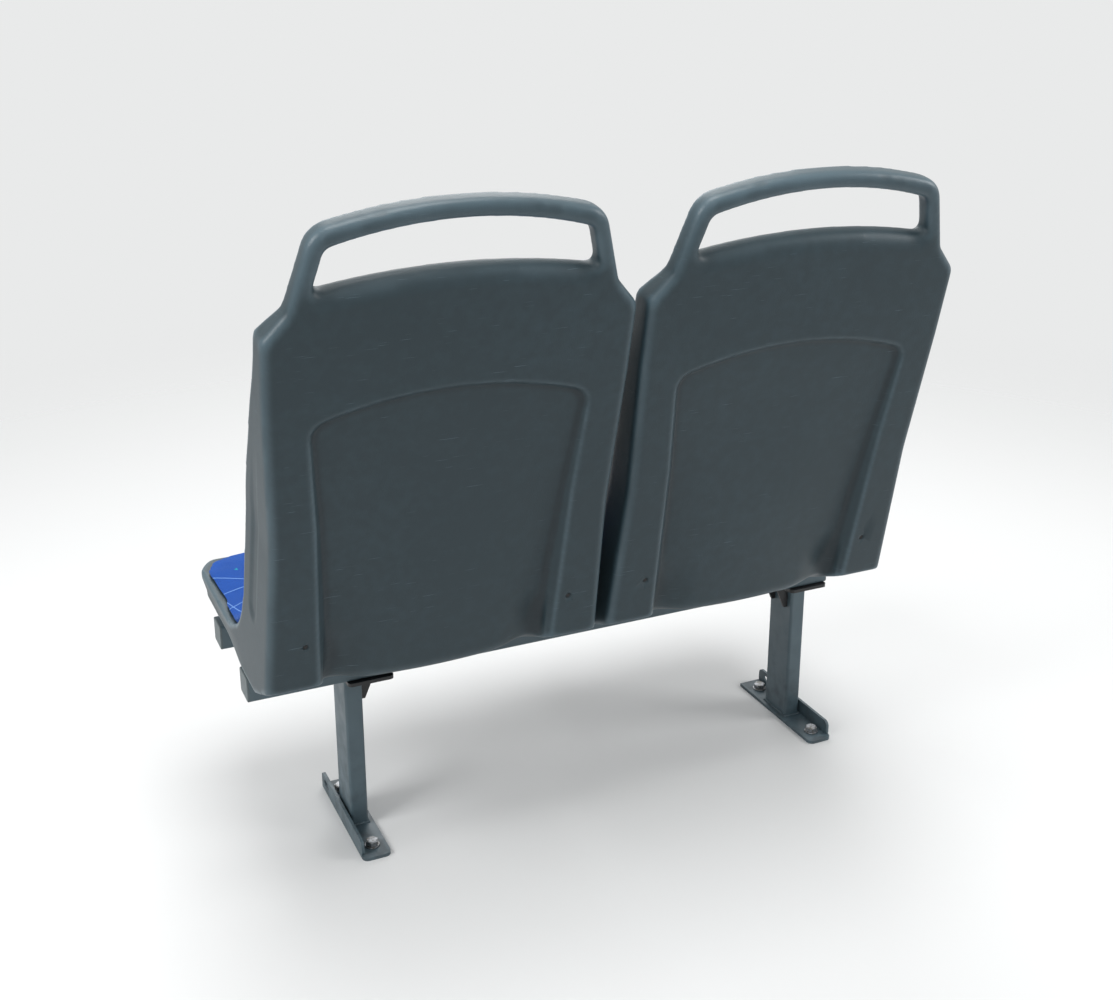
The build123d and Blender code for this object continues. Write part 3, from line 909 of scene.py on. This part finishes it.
    def drill_wells(self, piece: bpy.types.Object) -> None:
        """Cuts the two screw wells low in the columns.

        Args:
            piece: the shell.
        """
        form = bmesh.new()
        for step in (-1.0, 1.0):
            bmesh.ops.create_cone(
                form,
                cap_ends=True,
                segments=40,
                radius1=self.well_radius,
                radius2=self.well_radius * self.well_flare,
                depth=2 * self.well_depth,
                matrix=screw_place(self.centre_x() + step * self.screw_spread, self.screw_height, 0.0),
            )
        cutter = new_piece("well_cutter", mesh_from(form, "well_cutter"))
        cut = piece.modifiers.new("wells", "BOOLEAN")
        cut.operation, cut.solver, cut.object = "DIFFERENCE", "MANIFOLD", cutter
        settle(piece)
        bpy.data.objects.remove(cutter)

    def thin_out(self, piece: bpy.types.Object) -> None:
        """Merges faces where the skin is plain, down to the most that a piece may have.

        Args:
            piece: the shell.
        """
        triangles = sum(len(face.vertices) - 2 for face in piece.data.polygons)
        if triangles > self.most_faces:
            thin = piece.modifiers.new("thin", "DECIMATE")
            thin.ratio = self.most_faces / triangles
            settle(piece)


@dataclass
class ShellScrews:
    """Small socket screws in the wells low on the columns."""

    shells: Sequence[Shell]
    material: bpy.types.Material
    head_radius: float = 3.1 * MM
    head_height: float = 1.4 * MM
    head_taper: float = 0.86
    socket_inset: float = 1.55 * MM
    socket_depth: float = 0.8 * MM

    def build(self) -> bpy.types.Object:
        """Makes the four screw heads.

        Returns:
            The finished piece.
        """
        form = bmesh.new()
        for shell in self.shells:
            for step in (-1.0, 1.0):
                self.add_screw(form, shell, step)
        piece = new_piece("shell_screws", mesh_from(form, "shell_screws"))
        round_edges(piece, 0.3 * MM)
        return dress(piece, self.material)

    def add_screw(self, form: bmesh.types.BMesh, shell: Shell, step: float) -> None:
        """Adds one screw head on the floor of its well, with its socket.

        Args:
            form: the bmesh to add to.
            shell: the shell that it holds.
            step: -1 or 1, the column that it goes through.
        """
        x = shell.centre_x() + step * shell.screw_spread
        floor = screw_place(x, shell.screw_height, -shell.well_depth)
        made = bmesh.ops.create_cone(
            form,
            cap_ends=True,
            segments=32,
            radius1=self.head_radius,
            radius2=self.head_radius * self.head_taper,
            depth=self.head_height,
            matrix=floor @ Matrix.Translation((0.0, 0.0, self.head_height / 2)),
        )
        top = max(made["verts"], key=lambda v: (floor.inverted() @ v.co).z).link_faces
        face = max(top, key=lambda f: len(f.verts))
        bmesh.ops.inset_individual(form, faces=[face], thickness=self.socket_inset)
        sunk = floor.to_3x3() @ Vector((0.0, 0.0, -self.socket_depth))
        bmesh.ops.translate(form, verts=face.verts, vec=sunk)


# ---------------------------------------------------------------- upholstery


@dataclass
class Pad:
    """An upholstered pad: foam under moquette, stuck into the shell's bucket."""

    side: Side
    node: bpy.types.Object
    shell: Shell
    skin: bpy.types.Object
    material: bpy.types.Material
    voxel: float = 5.0 * MM
    shrink: float = 1.2 * MM
    glued: Band = (0.012, 0.005)  # gap to the shell
    pressure: float = 4.0
    most_swell: float = 6.0 * MM
    frames: int = 20
    seam: float = 2.6 * MM
    spread: float = 6.5 * MM
    side_turn: Band = (0.08, 0.50)  # how far an edge is turned outward
    front_turn: Band = (0.10, 0.55)
    front_edge: Band = (-0.12, -0.16)
    bend_rear: float = 0.049  # the bend between seat and back, in front of the rear face
    bend_radius: float = 0.062
    flat_width: float = 0.12
    wing_pull: float = 0.35
    window_shift: float = 0.37  # the window pads are cut from another place of the roll

    def build(self) -> bpy.types.Object:
        """Swells the pad by a cloth simulation with its rear held, and lays its pattern.

        Returns:
            The finished piece, which stands for its CAD node.
        """
        name = self.node.name.replace("_pad", "_cushion")
        piece = node_copy(self.node, name)
        remesh(piece, self.voxel)
        relax(piece.data, 0.5, 4)
        start = points_of(piece.data) - normals_of(piece.data) * self.shrink
        move_points(piece.data, start)
        held = self.held(piece.data)
        self.swell(piece, start, held)
        relax(piece.data, 0.35 * (1.0 - held), 3)
        self.spread_edges(piece.data, held)
        self.lay_cloth(piece.data)
        finer = piece.modifiers.new("finer", "SUBSURF")
        finer.levels = finer.render_levels = 1
        settle(piece)
        shade_smooth(piece)
        dress(piece, self.material)
        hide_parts(self.node.name)
        return piece

    def held(self, mesh: bpy.types.Mesh) -> np.ndarray:
        """How much each vertex is stuck to the shell behind it.

        Args:
            mesh: the pad's mesh.

        Returns:
            From 0 for a free vertex to 1 for a held one.
        """
        tree = BVHTree.FromObject(self.skin, bpy.context.evaluated_depsgraph_get())
        points, normals = points_of(mesh), normals_of(mesh)
        gaps = np.array([(tree.find_nearest(Vector(p))[3] or 1.0) for p in points])
        rays = (tree.ray_cast(Vector(p), Vector(n), self.glued[0]) for p, n in zip(points, normals))
        behind = np.array([hit[0] is not None for hit in rays])
        return np.where(behind, ease(gaps, *self.glued), 0.0)

    def swell(self, piece: bpy.types.Object, start: np.ndarray, held: np.ndarray) -> None:
        """Runs the cloth simulation and keeps each vertex within its longest way.

        Args:
            piece: the pad.
            start: the places of its vertices before.
            held: how much each vertex is held.
        """
        scene = bpy.context.scene
        group = piece.vertex_groups.new(name="held")
        for index in np.flatnonzero(held > 0.02):
            group.add([int(index)], float(held[index]), "REPLACE")
        cloth = piece.modifiers.new("swell", "CLOTH")
        cloth.settings.use_pressure = True
        cloth.settings.uniform_pressure_force = self.pressure
        cloth.settings.effector_weights.gravity = 0.0
        cloth.settings.vertex_group_mass = "held"
        cloth.settings.quality = 6
        cloth.point_cache.frame_start = 1
        cloth.point_cache.frame_end = self.frames
        for number in range(1, self.frames + 1):
            scene.frame_set(number)
        depsgraph = bpy.context.evaluated_depsgraph_get()
        swollen = points_of(piece.evaluated_get(depsgraph).data)
        piece.modifiers.clear()
        piece.vertex_groups.clear()
        scene.frame_set(1)
        way = swollen - start
        length = np.linalg.norm(way, axis=1)
        limit = self.most_swell * (1.0 - np.exp(-length / self.most_swell))
        way *= (limit / np.maximum(length, 1e-9))[:, None]
        move_points(piece.data, start + way)
        log.info("%s swelled by %.1f mm at most", piece.name, 1000 * float(np.linalg.norm(way, axis=1).max()))

    def spread_edges(self, mesh: bpy.types.Mesh, held: np.ndarray) -> None:
        """Fills the seam round the pad, and lets its free edges bulge over the shell's rim.

        Args:
            mesh: the pad's mesh.
            held: how much each vertex is held.
        """
        points, normals = points_of(mesh), normals_of(mesh)
        free = self.seam + self.spread * (1.0 - held)
        outward = ease(np.abs(normals[:, 0]), *self.side_turn) * np.sign(normals[:, 0])
        onward = ease(-normals[:, 1], *self.front_turn) * ease(points[:, 1], *self.front_edge)
        points[:, 0] += outward * free
        points[:, 1] -= onward * free
        move_points(mesh, points)
        relax(mesh, 0.5, 3)

    def lay_cloth(self, mesh: bpy.types.Mesh) -> None:
        """Lays the cloth's own coordinates over the pad, in metres along seat and back.

        Args:
            mesh: the pad's mesh.
        """
        points = points_of(mesh)
        sideways = points[:, 0] - self.shell.centre_x()
        bend = math.radians(90.0) - RECLINE
        foot = (PAN_RIM - REAR_EDGE[1]) / math.cos(RECLINE) - self.bend_rear * math.tan(RECLINE)
        foot_y, _ = on_back(foot, self.bend_rear)
        radius = self.bend_radius
        centre = np.array([foot_y - radius * math.tan(bend / 2), PAN_RIM + radius])
        offset = points[:, 1:] - centre
        angle = np.arctan2(offset[:, 0], -offset[:, 1])
        height, _ = back_coordinates(points)
        top_y, top_z = centre + radius * np.array([math.sin(bend), -math.cos(bend)])
        top_height, _ = back_coordinates(np.array([[0.0, top_y, top_z]]))
        along = np.where(angle < 0.0, offset[:, 0], 0.0) + np.clip(angle, 0.0, bend) * radius
        along += np.where(angle > bend, height - top_height[0], 0.0)
        extra = np.clip(np.abs(sideways) - self.flat_width, 0.0, None) * self.wing_pull
        across = sideways + np.sign(sideways) * extra
        across += self.window_shift if self.side is Side.WINDOW else 0.0
        layer = mesh.uv_layers.new(name="cloth")
        corners = np.zeros(len(mesh.loops), np.int64)
        mesh.loops.foreach_get("vertex_index", corners)
        layer.data.foreach_set("uv", np.stack([across[corners], along[corners]], axis=1).ravel())


# ---------------------------------------------------------------- frame


@dataclass
class SteelFrame:
    """The carried-over steel and its caps, with the finishes of the real pieces."""

    nodes: dict[str, bpy.types.Object]
    grey: bpy.types.Material
    black: bpy.types.Material
    cap: bpy.types.Material

    def dress(self) -> None:
        """Gives each steel node and cap its material."""
        finishes = {"cap": self.cap, "saddle": self.black} | dict.fromkeys(
            ("bearer", "foot", "post", "tube"), self.grey
        )
        for name, node in self.nodes.items():
            material = finishes.get(name.rpartition("_")[2])
            if material:
                node.data.materials.clear()
                node.data.materials.append(material)
                log.info("%s keeps its CAD shape", name)


@dataclass(frozen=True)
class Bolt:
    """A hexagon bolt with its washer; local +Z points from the plate out through the head."""

    across_flats: float
    head_height: float
    washer_radius: float
    shank_radius: float
    shank_length: float
    washer_height: float = 2.0 * MM
    crown_shares: tuple[float, float] = (0.86, 0.76)  # the crown's radii, of the head's corners
    crown_height: float = 0.7 * MM

    def add(self, form: bmesh.types.BMesh, place: Matrix) -> None:
        """Adds the bolt: shank in its hole, washer on the plate, chamfered head on top.

        Args:
            form: the bmesh to add to.
            place: the middle of the hole on the plate's face, turned the bolt's way.
        """
        corner = self.across_flats / math.sqrt(3.0)
        top = self.washer_height + self.head_height
        wide, narrow = self.crown_shares
        for sides, low_radius, high_radius, start, end in (
            (32, self.washer_radius, self.washer_radius, 0.0, self.washer_height),
            (6, corner, corner, self.washer_height, top),
            (32, corner * wide, corner * narrow, top - 0.1 * MM, top + self.crown_height),
            (24, self.shank_radius, self.shank_radius, -self.shank_length, 0.0),
        ):
            bmesh.ops.create_cone(
                form,
                cap_ends=True,
                segments=sides,
                radius1=low_radius,
                radius2=high_radius,
                depth=end - start,
                matrix=place @ Matrix.Translation((0.0, 0.0, (start + end) / 2)),
            )


def bolt_piece(name: str, bolt: Bolt, places: Iterable[Matrix]) -> bpy.types.Object:
    """A piece of several bolts with slightly worn edges.

    Args:
        name: the piece's name.
        bolt: the kind of bolt.
        places: where they sit.

    Returns:
        The piece.
    """
    form = bmesh.new()
    for place in places:
        bolt.add(form, place)
    piece = new_piece(name, mesh_from(form, name))
    round_edges(piece, 0.5 * MM)
    return piece


@dataclass
class FloorBolts:
    """Hexagon bolts with washers, at the ends of one foot."""

    side: Side
    foot: str
    material: bpy.types.Material
    row: float = 0.150
    plate: float = 5.0 * MM
    turns: tuple[float, float] = (0.2, 0.65)  # how each head was left when it was tightened
    bolt: Bolt = Bolt(16.0 * MM, 6.4 * MM, 10.5 * MM, 5.0 * MM, 5.0 * MM)

    def build(self) -> bpy.types.Object:
        """Makes the foot's two bolts.

        Returns:
            The finished piece.
        """
        low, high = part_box(self.foot)
        x = (low.x + high.x) / 2
        places = [
            Matrix.Translation((x, step * self.row, self.plate)) @ Matrix.Rotation(turn, 4, "Z")
            for step, turn in zip((-0.5, 0.5), self.turns)
        ]
        piece = bolt_piece(f"{self.side.value}_floor_bolts", self.bolt, places)
        return dress(piece, self.material)


@dataclass
class SaddleBolts:
    """Black hexagon bolts that hold one saddle up against the two cross tubes."""

    side: Side
    saddle: str
    tubes: Sequence[str]
    material: bpy.types.Material
    inset: float = 13.0 * MM
    plate: float = 5.0 * MM
    bolt: Bolt = Bolt(13.0 * MM, 5.6 * MM, 9.0 * MM, 4.0 * MM, 5.0 * MM)

    def build(self) -> bpy.types.Object:
        """Makes the saddle's bolts, two under each tube.

        Returns:
            The finished piece.
        """
        low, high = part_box(self.saddle)
        under = high.z - self.plate
        places = []
        for number, tube in enumerate(self.tubes):
            near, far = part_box(tube)
            for step, x in enumerate((low.x + self.inset, high.x - self.inset)):
                place = Matrix.Translation((x, (near.y + far.y) / 2, under))
                turned = Matrix.Rotation(0.3 + 0.4 * number + 0.7 * step, 4, "Z")
                places.append(place @ Matrix.Rotation(math.pi, 4, "X") @ turned)
        piece = bolt_piece(f"{self.side.value}_saddle_bolts", self.bolt, places)
        return dress(piece, self.material)


@dataclass
class WeldBeads:
    """Rippled weld beads round a leg: post to foot and post to saddle."""

    side: Side
    post: str
    material: bpy.types.Material
    ripple: float = 2.6 * MM
    size: float = 2.3 * MM
    rise: float = 0.6 * MM
    flatness: float = 0.9

    def build(self) -> bpy.types.Object:
        """Makes the leg's beads as rows of small overlapping ripples.

        Returns:
            The finished piece.
        """
        low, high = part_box(self.post)
        form = bmesh.new()
        for z in (low.z + self.rise, high.z - self.rise):
            for place in self.ring(low, high, z):
                bmesh.ops.create_icosphere(
                    form,
                    subdivisions=1,
                    radius=self.size,
                    matrix=Matrix.Translation(place) @ Matrix.Diagonal((1.0, 1.0, self.flatness, 1.0)),
                )
        name = f"{self.side.value}_leg_welds"
        piece = new_piece(name, mesh_from(form, name))
        shade_smooth(piece)
        return dress(piece, self.material)

    def ring(self, low: Vector, high: Vector, z: float) -> Iterable[Vector]:
        """Places of the ripples round the post at a level.

        Args:
            low: the post's lowest corner.
            high: the post's highest corner.
            z: the level.

        Yields:
            The middle of each ripple.
        """
        corners = [(low.x, low.y), (high.x, low.y), (high.x, high.y), (low.x, high.y)]
        for start, end in zip(corners, corners[1:] + corners[:1]):
            run = Vector((end[0] - start[0], end[1] - start[1], 0.0))
            count = max(2, round(run.length / self.ripple))
            for step in range(count):
                yield Vector((start[0], start[1], z)) + run * (step / count)


# ---------------------------------------------------------------- studio


@dataclass(frozen=True)
class Lamp:
    """A square soft lamp."""

    name: str
    place: tuple[float, float, float]
    size: float
    watts: float

    def hang(self, centre: Vector) -> None:
        """Hangs the lamp, facing a point.

        Args:
            centre: what it faces.
        """
        data = bpy.data.lights.new(self.name, "AREA")
        data.shape, data.size, data.energy = "SQUARE", self.size, self.watts
        lamp = bpy.data.objects.new(self.name, data)
        lamp.location = self.place
        lamp.rotation_euler = (centre - lamp.location).to_track_quat("-Z", "Y").to_euler()
        bpy.context.scene.collection.objects.link(lamp)


@dataclass
class Studio:
    """Pale floor, soft lamps and the camera."""

    floor_colour: str = "#dcdddd"
    floor_size: float = 9.0
    floor_fade: Band = (0.9, 3.0)  # how far from the seat it thins out
    air_colour: str = "#e9eaea"
    air_light: float = 0.36
    centre: tuple[float, float, float] = (0.06, 0.03, 0.46)
    camera_place: tuple[float, float, float] = (0.823, 1.694, 1.170)
    lens: float = 46.0
    shift: float = -0.07
    lamps: tuple[Lamp, ...] = (
        Lamp("side", (3.1, 0.7, 2.4), 1.6, 70.0),
        Lamp("far_side", (-3.0, 1.3, 2.0), 1.4, 42.0),
        Lamp("rear", (0.9, 3.3, 2.4), 2.4, 14.0),
        Lamp("top", (0.2, 0.5, 3.5), 1.8, 70.0),
        Lamp("front", (-0.8, -2.8, 3.0), 2.4, 60.0),
    )

    def build(self) -> None:
        """Makes the floor, the world, the lamps and the camera."""
        self.lay_floor()
        self.light_air()
        for lamp in self.lamps:
            lamp.hang(Vector(self.centre))
        self.set_camera()

    def lay_floor(self) -> None:
        """Lays the pale floor, which thins out into the air far from the seat."""
        form = bmesh.new()
        bmesh.ops.create_grid(form, x_segments=1, y_segments=1, size=self.floor_size)
        floor = new_piece("studio_floor", mesh_from(form, "studio_floor"))
        material = bpy.data.materials.new("studio_floor_paint")
        material.use_nodes = True
        tree = material.node_tree
        shader = tree.nodes["Principled BSDF"]
        feed(shader, {"Base Color": linear(self.floor_colour), "Roughness": 0.9})
        place = add_node(tree, "TexCoord").outputs["Object"]
        away = add_node(tree, "VectorMath", {0: place}, operation="LENGTH").outputs["Value"]
        near, far = self.floor_fade
        fade = {"Value": away, "From Min": near, "From Max": far}
        thin = add_node(tree, "MapRange", fade, interpolation_type="SMOOTHSTEP")
        clear = add_node(tree, "BsdfTransparent")
        mixed = add_node(tree, "MixShader", {0: thin, 1: shader, 2: clear})
        feed(tree.nodes["Material Output"], {"Surface": mixed})
        floor.data.materials.append(material)

    def light_air(self) -> None:
        """Makes an even soft light, which shows as a pale background."""
        world = bpy.data.worlds.new("studio_air")
        bpy.context.scene.world = world
        world.use_nodes = True
        tree = world.node_tree
        tree.nodes.clear()
        path = add_node(tree, "LightPath")
        seen = path.outputs["Is Camera Ray"]
        for kind in ("Is Glossy Ray", "Is Transmission Ray"):
            seen = add_node(tree, "Math", {0: seen, 1: path.outputs[kind]}, operation="MAXIMUM")
        light = add_node(tree, "Background", {"Color": linear("#ffffff"), "Strength": self.air_light})
        pale = add_node(tree, "Background", {"Color": linear(self.air_colour), "Strength": 1.0})
        mixed = add_node(tree, "MixShader", {0: seen, 1: light, 2: pale})
        add_node(tree, "OutputWorld", {"Surface": mixed})

    def set_camera(self) -> None:
        """Puts the camera where the photograph's stood, turned to the whole seat.

        The shift keeps the camera's tilt nearer to the photograph's.
        """
        data = bpy.data.cameras.new("camera")
        data.sensor_width, data.lens, data.shift_y = 36.0, self.lens, self.shift
        camera = bpy.data.objects.new("camera", data)
        camera.location = self.camera_place
        way = Vector(self.centre) - camera.location
        raised = math.hypot(way.x, way.y) * self.shift * data.sensor_width / data.lens
        aim = way - Vector((0.0, 0.0, raised))
        camera.rotation_euler = aim.to_track_quat("-Z", "Y").to_euler()
        bpy.context.scene.collection.objects.link(camera)
        bpy.context.scene.camera = camera
        bpy.context.scene.view_settings.view_transform = "Standard"


# ---------------------------------------------------------------- assembly


def main() -> None:
    """Builds the whole seat and its studio."""
    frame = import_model()
    nodes: dict[str, bpy.types.Object] = frame["nodes"]
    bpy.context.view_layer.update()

    plastic = MouldedPolyethylene("blow_moulded_polyethylene", "#27383f", 0.48).material()
    moquette = Moquette("wool_moquette", "#1d4da0", 0.95).material()
    grey = PowderCoat("grey_powder_coat", "#4b5c64", 0.42).material()
    black = PowderCoat("black_powder_coat", "#1b1c1e", 0.45).material()
    zinc = ZincPlated("zinc_plated_steel", "#9c9fa3", 0.38).material()
    cap = MouldedCap("polypropylene_cap", "#515c5f", 0.5).material()

    shells = [Shell(side, nodes[f"{side.value}_shell"], plastic) for side in Side]
    for shell in shells:
        side, skin = shell.side, shell.build()
        for place in ("back", "seat"):
            Pad(side, nodes[f"{side.value}_{place}_pad"], shell, skin, moquette).build()
        FloorBolts(side, f"{side.value}_foot", zinc).build()
        SaddleBolts(side, f"{side.value}_saddle", ("front_cross_tube", "rear_cross_tube"), black).build()
        WeldBeads(side, f"{side.value}_post", grey).build()
    ShellScrews(shells, black).build()
    SteelFrame(nodes, grey, black, cap).dress()
    Studio().build()


if __name__ == "__main__":
    main()
